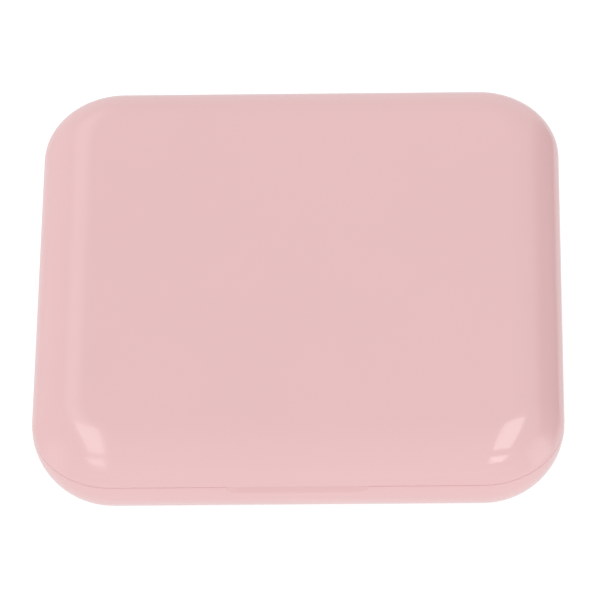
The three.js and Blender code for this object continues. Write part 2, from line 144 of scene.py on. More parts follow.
BOTTLE_Y, BOTTLE_Z = middle("bottle_body").yz
BOTTLE_WALL, SHOULDER_X, SHOULDER_R = 0.9, 12.0, 4.8
NECK_R, NECK_BORE_R = 4.0, 3.0
BEAD_XS, BEAD_PROUD = (15.75, 17.55), 0.35
BOTTLE_CAP_BORE_R, BOTTLE_CAP_DISH = 4.6, 0.25
TWEEZERS_X = (box_mm("tweezers_arm_front")[0].x, box_mm("tweezers_pad_front")[1].x)
TWEEZERS_Y = joints["tweezers_squeeze_front"]["pos_m"][1] / MM
TWEEZERS_Z = tuple(corner.z for corner in box_mm("tweezers_pad_front"))
ARM_GAP, TIP_GAP, TAIL_WIDE, PAD_FROM, PAD_SLEEVE = 0.35, 6.2, 5.4, 19.0, 0.9
GROOVE_XS = [-5.45 + i * 2.4 for i in range(4)]  # the grooves for the fingers
GROOVE_R, GROOVE_Y = 0.62, 4.9


# ---- Mesh helpers ----
def mesh_object(name, points, faces):
    mesh = bpy.data.meshes.new(name)
    mesh.from_pydata([Vector(point) * MM for point in points], [], faces)
    made = bpy.data.objects.new(name, mesh)
    bpy.context.scene.collection.objects.link(made)
    clean(made)
    return made


def clean(made):
    """Merges doubles, turns the faces outwards and shades smooth with crisp edges."""
    work = bmesh.new()
    work.from_mesh(made.data)
    bmesh.ops.remove_doubles(work, verts=work.verts, dist=WELD)
    bmesh.ops.recalc_face_normals(work, faces=work.faces)
    work.to_mesh(made.data)
    work.free()
    made.data.shade_smooth()
    made.data.set_sharp_from_angle(angle=math.radians(SHARP_DEG))


def apply_modifiers(made):
    bpy.context.view_layer.update()
    depsgraph = bpy.context.evaluated_depsgraph_get()
    mesh = bpy.data.meshes.new_from_object(made.evaluated_get(depsgraph))
    made.modifiers.clear()
    old, made.data = made.data, mesh
    bpy.data.meshes.remove(old)


def combine(made, tools, operation):
    """Joins tools to an object or cuts them from it, and uses them up."""
    for tool in tools:
        modifier = made.modifiers.new("combine", "BOOLEAN")
        modifier.object = tool
        modifier.operation = operation
        modifier.solver = "EXACT"
        apply_modifiers(made)
        bpy.data.objects.remove(tool)
    clean(made)
    return made


def cut(made, *tools):
    return combine(made, tools, "DIFFERENCE")


def join(made, *tools):
    return combine(made, tools, "UNION")


def soften(made, width, segments=2, angle=40):
    """Rounds the crisp edges by a small radius in millimetres."""
    modifier = made.modifiers.new("soften", "BEVEL")
    modifier.width = width * MM
    modifier.segments = segments
    modifier.limit_method = "ANGLE"
    modifier.angle_limit = math.radians(angle)
    modifier.use_clamp_overlap = True
    modifier.harden_normals = False
    apply_modifiers(made)
    clean(made)
    return made


def even_shading(made):
    """Weights the normals by face area, so that flat faces look flat beside their rounded edges."""
    modifier = made.modifiers.new("even_shading", "WEIGHTED_NORMAL")
    modifier.keep_sharp = True
    modifier.weight = 90
    apply_modifiers(made)


def lofted(name, rings, ends="cap"):
    """Skins rings of equally many points: ends are capped, open (at poles) or looped."""
    size, count = len(rings[0]), len(rings)
    faces = []
    for r in range(count if ends == "loop" else count - 1):
        a, b = r * size, (r + 1) % count * size
        faces += [(a + i, a + (i + 1) % size, b + (i + 1) % size, b + i) for i in range(size)]
    if ends == "cap":
        faces += [tuple(range(size)), tuple(range((count - 1) * size, count * size))]
    return mesh_object(name, [point for ring in rings for point in ring], faces)


def rounded(x, y, radius, inset=0.0, steps=20):
    """A rounded rectangle's points, moved in by inset, counter-clockwise from the right."""
    points = []
    for k, (sx, sy) in enumerate(((1, 1), (0, 1), (0, 0), (1, 0))):
        centre = (x[sx] + radius * (1 - 2 * sx), y[sy] + radius * (1 - 2 * sy))
        for i in range(steps + 1):
            angle = (k + i / steps) * math.pi / 2
            reach = radius - inset
            points.append((centre[0] + reach * math.cos(angle), centre[1] + reach * math.sin(angle)))
    return points


def swept(name, x, y, radius, profile, steps=20):
    """A closed shell: the profile's (inset, height) points carried round a rounded rectangle."""
    return lofted(name, [[(*p, z) for p in rounded(x, y, radius, inset, steps)] for inset, z in profile])


def slab(name, outline, z0, z1):
    """An outline of points extruded upwards."""
    return lofted(name, [[(*p, z) for p in outline] for z in (z0, z1)])


def corners(x, y):
    """The corners of a rectangle, from its ranges along X and Y."""
    return [(x[0], y[0]), (x[1], y[0]), (x[1], y[1]), (x[0], y[1])]


def block(name, x, y, z):
    return slab(name, corners(x, y), *z)


def around(at, width):
    """The range of this width about a place."""
    return (at - width / 2, at + width / 2)


def turned(name, path, centre=(0, 0), along="Z", segments=96, ribs=None):
    """Revolves (radius, along) points about an axis; ribs(angle, radius, along) may change a radius."""
    rings = []
    for radius, at in path:
        ring = []
        for i in range(segments):
            angle = math.tau * i / segments
            r = ribs(angle, radius, at) if ribs else radius
            a, b = centre[0] + r * math.cos(angle), centre[1] + r * math.sin(angle)
            ring.append((a, b, at) if along == "Z" else (at, a, b))
        rings.append(ring)
    loop = path[0][0] > 0
    return lofted(name, rings, "loop" if loop else "open")


def filleted(path, steps=5):
    """A polyline of (across, up) or (across, up, fillet radius) corners, its corners made arcs."""
    made = []
    for i, corner in enumerate(path):
        here = Vector(corner[:2])
        radius = corner[2] if len(corner) == 3 else 0
        if not radius or i in (0, len(path) - 1):
            made.append(tuple(here))
            continue
        back, on = Vector(path[i - 1][:2]) - here, Vector(path[i + 1][:2]) - here
        half = back.angle(on) / 2
        reach = min(radius / math.tan(half), back.length * 0.48, on.length * 0.48)
        radius = reach * math.tan(half)
        middle_way = (back.normalized() + on.normalized()).normalized()
        centre = here + middle_way * radius / math.sin(half)
        first, last = here + back.normalized() * reach - centre, here + on.normalized() * reach - centre
        turn = first.angle(last)
        for k in range(steps + 1):
            t = k / steps
            spoke = (first * math.sin((1 - t) * turn) + last * math.sin(t * turn)) / math.sin(turn)
            made.append(tuple(centre + spoke))
    return made


def ellipse(run, rise, z, inset=0.0, steps=22):
    """An elliptical edge rounding from the side (height z) up or down to the flat, as (inset, height)."""
    turn = [math.pi / 2 * i / steps for i in range(steps + 1)]
    return [(inset + run * (1 - math.cos(a)), z + rise * math.sin(a)) for a in turn]


def case_swept(name, profile):
    return swept(name, CASE_X, CASE_Y, CORNER_R, profile)


# ---- Materials ----
def node(tree, kind, inputs=None, **settings):
    """Adds a node; inputs that are sockets are linked, others are set."""
    made = tree.nodes.new("ShaderNode" + kind)
    for name, value in settings.items():
        setattr(made, name, value)
    for name, value in (inputs or {}).items():
        if isinstance(value, bpy.types.NodeSocket):
            tree.links.new(value, made.inputs[name])
        else:
            made.inputs[name].default_value = value
    return made


def noise(tree, where, scale, detail=3.0, stretch=(1, 1, 1)):
    """Noise over object space; a stretch below 1 draws it out along that axis."""
    drawn = node(tree, "Mapping", {"Vector": where, "Scale": stretch}).outputs["Vector"]
    return node(tree, "TexNoise", {"Vector": drawn, "Scale": scale, "Detail": detail}).outputs["Fac"]


def remap(tree, value, low, high, to_low, to_high, smooth=False):
    limits = {"Value": value, "From Min": low, "From Max": high, "To Min": to_low, "To Max": to_high}
    kind = "SMOOTHSTEP" if smooth else "LINEAR"
    return node(tree, "MapRange", limits, interpolation_type=kind).outputs["Result"]


def plus(tree, a, b):
    return node(tree, "Math", {0: a, 1: b}, operation="ADD").outputs[0]


def times(tree, a, b):
    return node(tree, "Math", {0: a, 1: b}, operation="MULTIPLY").outputs[0]


def mixed(tree, factor, a, b):
    return node(tree, "Mix", {0: factor, 6: a, 7: b}, data_type="RGBA").outputs[2]


def shade(colour, by):
    return (*(min(1.0, value * by) for value in colour), 1)


class Finish:
    """One procedural material: soft tone patches, worn edges, fine roughness and a moulded grain."""

    def __init__(self, name, colour, roughness, **sockets):
        self.material = bpy.data.materials.new(name)
        self.material.use_nodes = True
        self.tree = self.material.node_tree
        self.shader = self.tree.nodes["Principled BSDF"]
        self.colour, self.roughness = colour, roughness
        self.where = node(self.tree, "TexCoord").outputs["Object"]
        for socket, value in sockets.items():
            self.shader.inputs[socket.replace("_", " ")].default_value = value

    def link(self, value, socket):
        self.tree.links.new(value, self.shader.inputs[socket])

    def tones(self, scale, amount, wear=0.0, wear_by=1.12):
        """Colour patches about `scale` to the metre, and edges rubbed lighter by `wear`."""
        tree = self.tree
        patch = remap(tree, noise(tree, self.where, scale), 0.3, 0.7, 0, 1)
        colour = mixed(tree, patch, shade(self.colour, 1 - amount), shade(self.colour, 1 + amount))
        if wear:
            edge = node(tree, "NewGeometry").outputs["Pointiness"]
            rubbed = remap(tree, edge, 0.53, 0.62, 0, wear)
            colour = mixed(tree, rubbed, colour, shade(self.colour, wear_by))
        self.link(colour, "Base Color")
        return self

    def texture(self, scale, depth, vary=0.03, stretch=(1, 1, 1), inside=0, matt=0.0):
        """Fine grain in bump and roughness; `inside` is -1 or 1 where down or up faces are matt."""
        tree = self.tree
        grain = noise(tree, self.where, scale, 4.0, stretch)
        rough = remap(tree, grain, 0.3, 0.7, self.roughness - vary, self.roughness + vary)
        rub = noise(tree, self.where, 120, 5.0, (1, 6, 1))
        rough = plus(tree, rough, remap(tree, rub, 0.45, 0.75, 0, vary * 1.2))
        strength = 1.0
        if inside:
            normal = node(tree, "TexCoord").outputs["Normal"]
            facing = node(tree, "SeparateXYZ", {0: normal}).outputs["Z"]
            within = remap(tree, facing, 0.1 * inside, 0.3 * inside, 0, 1, smooth=True)
            rough = plus(tree, rough, times(tree, within, matt))
            strength = remap(tree, within, 0, 1, 0.15, 1)
        self.link(rough, "Roughness")
        bump = node(tree, "Bump", {"Strength": strength, "Distance": depth * MM, "Height": grain})
        self.link(bump.outputs["Normal"], "Normal")
        return self


PINK = (0.752, 0.478, 0.485)
TRAY_PINK = (0.83, 0.60, 0.595)
ROSE = (0.66, 0.27, 0.33)
WHITE = (0.86, 0.85, 0.83)
MILKY = (0.88, 0.76, 0.73)
CLOUDY = (0.76, 0.785, 0.775)
STEEL = (0.60, 0.61, 0.63)
SILVER = (0.80, 0.82, 0.83)
GLASS_EDGE = (0.66, 0.76, 0.72)
FOAM = (0.82, 0.80, 0.75)


def make_materials():
    """The finished materials by name."""
    made = {}

    def keep(finish):
        made[finish.material.name] = finish.material
        return finish

    for part, inside in (("lid", -1), ("base", 1)):
        gloss = keep(Finish("gloss_pink_" + part, PINK, 0.1)).tones(38, 0.008, 0.25, 1.05)
        gloss.texture(2600, 0.006, 0.015, inside=inside, matt=0.34)
    keep(Finish("satin_pink", TRAY_PINK, 0.46)).tones(55, 0.014, 0.35, 1.08).texture(3400, 0.03, 0.05)
    keep(Finish("rose", ROSE, 0.3)).tones(70, 0.025, 0.35, 1.15).texture(2400, 0.009, 0.03)
    keep(Finish("white", WHITE, 0.3)).tones(60, 0.012, 0.3, 1.05).texture(2200, 0.014, 0.03)
    silicone = Finish(
        "milky_silicone", MILKY, 0.5, Subsurface_Weight=0.25, Subsurface_Radius=(0.003, 0.002, 0.0015)
    )
    keep(silicone).tones(90, 0.02).texture(3000, 0.02, 0.06)
    cloudy = Finish(
        "cloudy_plastic", CLOUDY, 0.26, Subsurface_Weight=0.25, Subsurface_Radius=(0.0015, 0.0015, 0.0012)
    )
    keep(cloudy).tones(60, 0.02).texture(1500, 0.002, 0.004)
    drawn = Finish("drawn_steel", STEEL, 0.27, Metallic=1.0)
    keep(drawn).tones(400, 0.04, 0.3, 1.2).texture(9000, 0.004, 0.08, (0.02, 1, 1))
    silvered = Finish("silvered_glass", SILVER, 0.02, Metallic=1.0)
    keep(silvered).tones(30, 0.004).texture(300, 0.0002, 0.012)
    ground = Finish("ground_glass_edge", GLASS_EDGE, 0.42, IOR=1.5)
    keep(ground).tones(500, 0.05).texture(5000, 0.02, 0.08)
    keep(Finish("tape_foam", FOAM, 0.85)).tones(900, 0.06).texture(2600, 0.12, 0.05)
    return made


# ---- The box ----
def lid_profile():
    """The lid shell's section as (inset, height) points: outside, rim, inside, mirror bezel."""
    run, rise = LID_EDGE
    side_z = HEIGHT - rise
    rim_z = SEAM_Z + SEAM_SHOWS / 2
    ceiling_z = HEIGHT - LID_WALL
    inner_run, inner_rise = run - LID_WALL, rise - LID_WALL
    step_inset = LID_WALL + inner_run * (1 - math.sqrt(1 - ((RIM_TOP - side_z) / inner_rise) ** 2))
    outside = [p for p in ellipse(run, rise, side_z)[::-1] if p[1] > rim_z + RIM_BAND]
    inside = [p for p in ellipse(inner_run, inner_rise, side_z, LID_WALL) if p[1] > RIM_TOP + 0.25]
    inside = [p for p in inside if p[0] < BEZEL[0] - 0.2]
    rim = [
        (0.02, rim_z + RIM_BAND),
        (0, rim_z, RIM_ROUND),
        (RIM_INNER, rim_z, 0.15),
        (RIM_INNER, RIM_TOP, 0.1),
        (step_inset, RIM_TOP, 0.1),
        inside[0],
    ]
    bezel = [
        (BEZEL[0] - 0.15, ceiling_z),
        (BEZEL[0], ceiling_z, 0.15),
        (BEZEL[0], BEZEL_Z, 0.2),
        (BEZEL[1], BEZEL_Z, 0.25),
        (BEZEL[1], ceiling_z, 0.15),
        (BEZEL[1] + 1, ceiling_z),
    ]
    top = [(run + 2, HEIGHT), (run + 0.6, HEIGHT)]
    return [*top, *outside, *filleted(rim)[:-1], *inside, *filleted(bezel)]


def base_profile():
    """The base shell's section: foot, outside, rim, upstanding lip, inside, floor."""
    run, rise = BASE_EDGE
    rim_z = SEAM_Z - SEAM_SHOWS / 2
    inner_run, inner_rise = run - BASE_SIDE, rise - BASE_FLOOR
    outside = [(inset, -z) for inset, z in ellipse(run, rise, -rise)][::-1]
    outside = [p for p in outside if p[1] < rim_z - RIM_BAND]
    inside = [(inset, -z) for inset, z in ellipse(inner_run, inner_rise, -rise, BASE_SIDE)]
    inside = [p for p in inside if p[1] < BASE_CURVE_TOP]
    rim = [
        (0, rim_z - RIM_BAND),
        (0, rim_z, RIM_ROUND),
        (LIP[0], rim_z, 0.12),
        (LIP[0], LIP_TOP, 0.25),
        (LIP[1], LIP_TOP, 0.3),
        (LIP[1], LIP_ROOT, 0.2),
        (inside[0][0] - 0.02, inside[0][1] + 0.15),
    ]
    foot = [(run + 0.9, 0), (run + 0.3, 0)]
    return [*foot, *outside, *filleted(rim), *inside, (run + 0.9, BASE_FLOOR)]


def snap_bead(y, z):
    """A shallow half-round bead along the front, with round ends."""
    half, r = SNAP_LENGTH / 2, SNAP_R
    path = [(0, -half), (r * 0.7, -half + r * 0.3), (r, -half + r)]
    path += [(across, -x) for across, x in path[::-1]]
    return turned("snap_bead", path, (y, z), "X", 24)


def pin_hole(x, reach):
    """The tool that bores for a pin, as far as reach to both sides of x."""
    path = [(0, x - reach), (PIN_HOLE_R, x - reach), (PIN_HOLE_R, x + reach), (0, x + reach)]
    return turned("pin_hole", path, (HINGE_Y, HINGE_Z), "X", 48)


def lug(x):
    """One hinge lug of the lid: a knuckle round the pin with a web that runs up into the shell."""
    turn = [math.radians(15 - 210 * i / 28) for i in range(29)]
    section = [(KNUCKLE_R * math.cos(a), KNUCKLE_R * math.sin(a)) for a in turn]
    section += [(-1.1, 2.2), (-0.8, 3.3), (-0.1, 4.3), (0.9, 4.25), (1.62, 3.2), (1.7, 2.1)]
    half, edge = LUG / 2, 0.12
    rings = []
    for at, shrink in ((-half, edge), (-half + edge, 0), (half - edge, 0), (half, edge)):
        keep = 1 - shrink / KNUCKLE_R
        rings.append([(x + at, HINGE_Y + y * keep, HINGE_Z + z * keep) for y, z in section])
    return lofted("lug", rings)


def lid_shell():
    shell = case_swept("lid_outer_shell", lid_profile())
    join(shell, *[lug(x) for x in HINGE_XS])
    cut(shell, *[pin_hole(x, LUG) for x in HINGE_XS])
    return join(shell, snap_bead(-DEPTH / 2 + RIM_INNER - SNAP_R + SNAP_PROUD, SNAP_LID_Z))


def back_relief():
    """What the base loses at the back so that the lid's rear rim can swing past."""
    start_y = DEPTH / 2 - LIP[0] + 0.03
    start = math.acos((start_y - HINGE_Y) / BACK_RELIEF_R)
    turn = [start * (1 - i / 14) for i in range(15)]
    r, past_y = BACK_RELIEF_R, DEPTH / 2 + 5
    section = [(HINGE_Y + r * math.cos(a), HINGE_Z + r * math.sin(a)) for a in turn]
    section += [(past_y, HINGE_Z), (past_y, HEIGHT), (start_y, HEIGHT)]
    return lofted("back_relief", [[(x, *p) for p in section] for x in (-WIDTH, WIDTH)])


def thumb_scoop():
    """The shallow cut across the front of the rim, its ends running out in a curve."""
    half, y = SCOOP_LENGTH / 2, -DEPTH / 2 - SCOOP_R + SCOOP_DEPTH
    path = [(0, -half), (SCOOP_R - SCOOP_DEPTH, -half)]
    for t in (0.2, 0.4, 0.6, 0.8, 1):
        path.append((SCOOP_R - SCOOP_DEPTH * (1 - t) ** 2, -half + SCOOP_RUN * t))
    path += [(r, -x) for r, x in path[::-1]]
    return turned("thumb_scoop", path, (y, SCOOP_Z), "X", 96)


def base_shell():
    shell = case_swept("base_outer_shell", base_profile())
    cut(shell, back_relief(), thumb_scoop())
    boss_y = (HINGE_Y - BOSS_REACH, DEPTH / 2 - BOSS_BACK)
    boss_z = (BOSS_FLOOR_Z, SEAM_Z - SEAM_SHOWS / 2 - 0.02)
    for x in HINGE_XS:
        boss = block("boss", around(x, BOSS), boss_y, boss_z)
        join(shell, soften(boss, 0.3, 3))
    for x in HINGE_XS:
        notch = block("notch", around(x, NOTCH), (HINGE_Y - NOTCH_REACH, FAR), (NOTCH_FLOOR_Z, FAR))
        cut(shell, soften(notch, 0.3, 3), pin_hole(x, BOSS / 2 + 0.5))
    return join(shell, snap_bead(-DEPTH / 2 + LIP[0] + SNAP_R - SNAP_PROUD, SNAP_BASE_Z))


def hinge_pin(side):
    low, high = box_mm("hinge_pin_" + side)
    r = (high.z - low.z) / 2
    path = [(0, low.x), (r - 0.15, low.x, 0.05), (r, low.x + 0.2, 0.05)]
    path += [(r, high.x - 0.2, 0.05), (r - 0.15, high.x, 0.05), (0, high.x)]
    return turned("steel_pin_" + side, filleted(path, 3), (HINGE_Y, HINGE_Z), "X", 48)


# ---- The tray ----
def stadium(r):
    return rounded((-WELL_X - r, WELL_X + r), (WELL_Y - r, WELL_Y + r), r, steps=28)


def tray():
    deck_z = TRAY_Z - TRAY_THICK
    made = slab("tray_insert", rounded(CASE_X, CASE_Y, CORNER_R, TRAY_INSET), deck_z, TRAY_Z)
    join(made, slab("sleeve", stadium(LENS_HOLE_R + TRAY_WALL), SLEEVE_Z, deck_z + 0.1))
    for x, y, floor_z, r in POCKETS:
        join(made, slab("pocket", rounded(x, y, r, -TRAY_WALL, 8), floor_z, deck_z + 0.1))
    cut(made, slab("lens_hole", stadium(LENS_HOLE_R), -1, ABOVE))
    for x, y, floor_z, r in POCKETS:
        cut(made, slab("pocket_room", rounded(x, y, r, 0, 8), floor_z + TRAY_FLOOR, ABOVE))
    x, y, floor_z, r = FINGER_ROOM
    dip = rounded(x, (floor_z, floor_z + ABOVE), r, 0, 8)
    cut(made, lofted("finger_room", [[(across, at, up) for across, up in dip] for at in y]))
    room_y = (HINGE_Y - BOSS_REACH - CLEAR, FAR)
    for x in HINGE_XS:
        cut(made, block("boss_room", around(x, BOSS + 2 * CLEAR), room_y, (BOSS_ROOM_Z, ABOVE)))
    return soften(made, 0.22, 2, 50)


# ---- The mirror ----
def mirror():
    low, high = box_mm("mirror")
    grind = MIRROR_GRIND
    profile = [(grind, high.z), (0, high.z - grind), (0, low.z + grind), (grind, low.z)]
    plate = swept("mirror_plate", (low.x, high.x), (low.y, high.y), MIRROR_R, profile, 12)
    for face in plate.data.polygons:
        face.material_index = 0 if abs(face.normal.z) > 0.95 else 1
    return plate


# ---- The lens case ----
def thread(name, centre, radius, start_z):
    """A rounded helical ridge that fades in and out at its ends."""
    steps, sides = 110, 10
    rings = []
    for i in range(steps + 1):
        t = i / steps
        grow = min(1.0, t / THREAD_FADE, (1 - t) / THREAD_FADE)
        size = THREAD_R * (THREAD_THIN + (1 - THREAD_THIN) * grow)
        angle = math.tau * THREAD_TURNS * t
        z = start_z + THREAD_PITCH * THREAD_TURNS * t
        ring = []
        for k in range(sides):
            a = math.tau * k / sides
            r = radius - THREAD_SINK + size * math.cos(a)
            x, y = centre[0] + r * math.cos(angle), centre[1] + r * math.sin(angle)
            ring.append((x, y, z + size * math.sin(a)))
        rings.append(ring)
    return lofted(name, rings)


def lens_case():
    low, high = box_mm("lens_case_body")
    outer = [
        (0, low.z),
        (WELL_BODY_R - 2, low.z, 0.8),
        (WELL_BODY_R, low.z + 2, 0.8),
        (WELL_BODY_R, FLANGE_Z[1] + 0.3, 0.1),
        (WELL_NECK_R, FLANGE_Z[1] + 0.5, 0.1),
        (WELL_NECK_R, high.z, 0.4),
        (0, high.z),
    ]
    bore = [
        (0, low.z + 1.2),
        (WELL_R - 2.6, low.z + 1.4, 2.5),
        (WELL_R - 0.5, low.z + 3.2, 1.5),
        (WELL_R, low.z + 5.2, 1),
        (WELL_R, high.z - 0.35, 0.3),
        (WELL_R + 0.5, high.z + 0.1),
        (0, high.z + 0.1),
    ]
    edge = [(1, FLANGE_Z[0]), (0, FLANGE_Z[0], 0.45), (0, FLANGE_Z[1], 0.45), (1, FLANGE_Z[1])]
    x, y, r = (low.x, high.x), (low.y, high.y), (high.y - low.y) / 2 - 0.001
    made = swept("lens_case", x, y, r, filleted(edge, 4), 40)
    wells = [(-WELL_X, WELL_Y), (WELL_X, WELL_Y)]
    for well in wells:
        join(made, turned("cup", filleted(outer), well, segments=144))
        join(made, thread("ridge", well, WELL_NECK_R, THREAD_Z))
    return cut(made, *[turned("bore", filleted(bore), well, segments=144) for well in wells])


def mark_l():
    return [(-1.9, -3), (1.9, -3), (1.9, -1.7), (-0.6, -1.7), (-0.6, 3), (-1.9, 3)]


def mark_r():
    """A block R as its outline and its eye."""
    bowl = [math.radians(-56 + 146 * i / 14) for i in range(15)]
    outline = [(-2, -3), (-0.7, -3), (-0.7, -0.6), (0.1, -0.6), (1.1, -3), (2.5, -3), (1.3, -0.3)]
    outline += [(0.3 + 1.8 * math.cos(a), 1.2 + 1.8 * math.sin(a)) for a in bowl] + [(-2, 3)]
    turn = [math.radians(-90 + 180 * i / 12) for i in range(13)]
    eye = [(0.3 + 0.65 * math.cos(a), 1.15 + 0.65 * math.sin(a)) for a in turn]
    return outline, [(-0.7, 0.5), *eye, (-0.7, 1.8)]


def grip(count, deep, low, high, beyond, fade=0.6):
    """A rib pattern for turned(): rounded ribs between two heights, on radii over `beyond`."""

    def shape(angle, radius, at):
        if radius < beyond:
            return radius
        runs_in = max(0.0, min(1.0, (at - low) / fade, (high - at) / fade))
        rib = abs(math.sin(angle * count / 2)) ** 0.8
        return radius - deep * runs_in * (1 - rib)

    return shape


def risers(r, low, high, steps=22):
    """Close-set points up a straight wall, so that ribs can run in and out on it."""
    return [(r, low + (high - low) * i / steps) for i in range(steps + 1)]


def well_cap(side):
    low, high = box_mm("well_cap_" + side)
    centre = middle("well_cap_" + side)
    top = high.z - MARK_HIGH
    dish = top - CAP_DISH
    r = (high.x - low.x) / 2
    path = [
        (0, CAP_ROOF_Z),
        (CAP_BORE_R, CAP_ROOF_Z, 0.3),
        (CAP_BORE_R, low.z + 0.3, 0.1),
        (CAP_BORE_R + 0.25, low.z, 0.1),
        (r, low.z, 0.3),
        *risers(r, low.z + 0.3, top - 1.1),
        (r, top, 1.1),
        (r - 2.6, top, 0.3),
        (r - 2.9, dish, 0.3),
        (r - 3.4, dish),
        (0, dish),
    ]
    ribs = grip(30, 0.4, low.z + 0.35, top - 0.75, CAP_BORE_R + 0.5)
    made = turned("screw_cap_" + side, filleted(path, 6), centre.xy, segments=360, ribs=ribs)
    shapes = [mark_l()] if side == "left" else mark_r()
    outline, *eyes = [[(centre.x + x, centre.y + y) for x, y in shape] for shape in shapes]
    letter = slab("letter", outline, top - 0.4, high.z)
    for eye in eyes:
        cut(letter, slab("eye", eye, 0, 30))
    return join(made, soften(letter, 0.12, 2, 50))


def gasket(side):
    low, high = box_mm("cap_gasket_" + side)
    centre = middle("cap_gasket_" + side)
    r, hole = (high.x - low.x) / 2, GASKET_HOLE_R
    start = (hole + 1, low.z)
    path = [start, (r, low.z, 0.2), (r, high.z, 0.2), (hole, high.z, 0.2), (hole, low.z, 0.2), start]
    return turned("gasket_" + side, filleted(path, 4)[:-1], centre.xy, segments=128)


# ---- The solution bottle, lying along X ----
def oval(x, wide, thick, steps=72):
    """A cross-section of the bottle: an ellipse across X."""
    y, z = BOTTLE_Y, BOTTLE_Z
    turn = [math.tau * i / steps for i in range(steps)]
    return [(x, y + wide * math.cos(a), z + thick * math.sin(a)) for a in turn]


def bottle_side(x0, x1, wide, thick, edge, neck_r, shoulder):
    """Half sizes of the bottle's wall from its closed end to its neck, as (x, across, up)."""
    made = []
    for i in range(9):
        a = math.pi / 2 * i / 8
        inset = edge * (1 - math.sin(a))
        made.append((x0 + edge * (1 - math.cos(a)), wide - inset, thick - inset))
    made += [(x0 + (x1 - x0) * k / 6, wide, thick) for k in (1, 2, 3, 4)]
    start = x1 - shoulder
    for i in range(13):
        t = i / 12
        x = start + shoulder * (1 - (1 - t) ** 1.6)
        widen = 1 - math.sin(t * math.pi / 2) ** 2
        made.append((x, neck_r + (wide - neck_r) * widen, neck_r + (thick - neck_r) * widen))
    return made


def bottle():
    low, high = box_mm("bottle_body")
    wide, thick = (high.y - low.y) / 2, (high.z - low.z) / 2
    outside = bottle_side(low.x, SHOULDER_X, wide, thick, 2.4, SHOULDER_R, 4.4)
    inner_x, inner_wide, inner_thick = low.x + BOTTLE_WALL, wide - BOTTLE_WALL, thick - BOTTLE_WALL
    inside = bottle_side(inner_x, SHOULDER_X - 0.4, inner_wide, inner_thick, 1.5, NECK_BORE_R, 4.6)
    path = [
        (SHOULDER_R, SHOULDER_X + 0.1),
        (SHOULDER_R, SHOULDER_X + 1, 0.3),
        (NECK_R, SHOULDER_X + 1.4, 0.2),
    ]
    for x in BEAD_XS:
        path += [(NECK_R, x - 0.35, 0.2), (NECK_R + BEAD_PROUD, x, 0.2), (NECK_R, x + 0.35, 0.2)]
    path += [(NECK_R, high.x, 0.2), (NECK_BORE_R, high.x, 0.2), (NECK_BORE_R, SHOULDER_X)]
    neck = [(x, r, r) for r, x in filleted(path, 3)]
    foot = [(low.x, wide * 0.3, thick * 0.3), (low.x, wide * 0.62, thick * 0.55)]
    inner_foot = [(inner_x, wide * 0.55, thick * 0.5), (inner_x, wide * 0.25, thick * 0.25)]
    rings = [oval(*size) for size in foot + outside + neck + inside[::-1] + inner_foot]
    return lofted("bottle", rings)


def dropper_plug():
    low, high = box_mm("bottle_dropper_plug")
    path = [
        (0.5, low.x, 0),
        (NECK_BORE_R - 0.15, low.x, 0.3),
        (NECK_BORE_R - 0.15, low.x + 5.1),
        (3.8, low.x + 5.1, 0.15),
        (3.8, low.x + 5.8, 0.15),
        (1.7, low.x + 5.8, 0.3),
        (1, high.x, 0.25),
        (0.5, high.x, 0.1),
        (0.5, low.x),
    ]
    return turned("dropper_plug", filleted(path)[:-1], (BOTTLE_Y, BOTTLE_Z), "X", 64)


def bottle_cap():
    low, high = box_mm("bottle_cap")
    r = (high.z - low.z) / 2
    dish = high.x - BOTTLE_CAP_DISH
    path = [
        (0, high.x - 1.2),
        (BOTTLE_CAP_BORE_R, high.x - 1.2, 0.3),
        (BOTTLE_CAP_BORE_R, low.x + 0.2, 0.1),
        (BOTTLE_CAP_BORE_R + 0.2, low.x, 0.1),
        (r, low.x, 0.25),
        *risers(r, low.x + 0.25, high.x - 1.2),
        (r, high.x, 1.2),
        (r - 2.4, high.x, 0.4),
        (r - 2.7, dish, 0.4),
        (r - 3.3, dish),
        (0, dish),
    ]
    ribs = grip(20, 0.3, low.x + 1.0, high.x - 0.7, BOTTLE_CAP_BORE_R + 0.3)
    return turned("ribbed_cap", filleted(path, 6), (BOTTLE_Y, BOTTLE_Z), "X", 240, ribs)


# ---- The tweezers: side is -1 for the front arm, +1 for the back arm ----
def curve(start, bend, end, steps=22):
    """The points of a quadratic curve after its start."""
    made = []
    for i in range(1, steps + 1):
        t = i / steps
        near, mid, far = (1 - t) ** 2, 2 * t * (1 - t), t * t
        made.append(tuple(near * a + mid * b + far * c for a, b, c in zip(start, bend, end)))
    return made


def arm_outline():
    left, right = TWEEZERS_X
    inner, tip = ARM_GAP / 2, TIP_GAP / 2
    points = [(left + 0.2, inner), (left + 9, inner)]
    points += curve((left + 9, inner), (left + 22, 2.5), (4, 2.6))
    points += [(right - 1.5, tip), (right - 1.5, tip + 1.1), (4, 4.4)]
    points += curve((4, 4.4), (left + 20, 4.8), (left + 6, TAIL_WIDE / 2))
    points += curve((left + 6, TAIL_WIDE / 2), (left, TAIL_WIDE / 2), (left, inner + 0.2), 12)
    return points


def pad_outline():
    right, tip = TWEEZERS_X[1], TIP_GAP / 2
    inner, outer = tip - 0.75, tip + 2
    points = [(PAD_FROM, inner + 0.35), (PAD_FROM, outer + 0.35), (right - 1.2, outer - 0.3)]
    points += curve((right - 1.2, outer - 0.3), (right, tip + 1.2), (right, tip + 0.6), 8)
    points += curve((right, tip + 0.6), (right, inner), (right - 1.4, inner), 8)
    return points


def arm_slab(name, outline, side, z0, z1):
    return slab(name, [(x, TWEEZERS_Y + side * y) for x, y in outline], z0, z1)


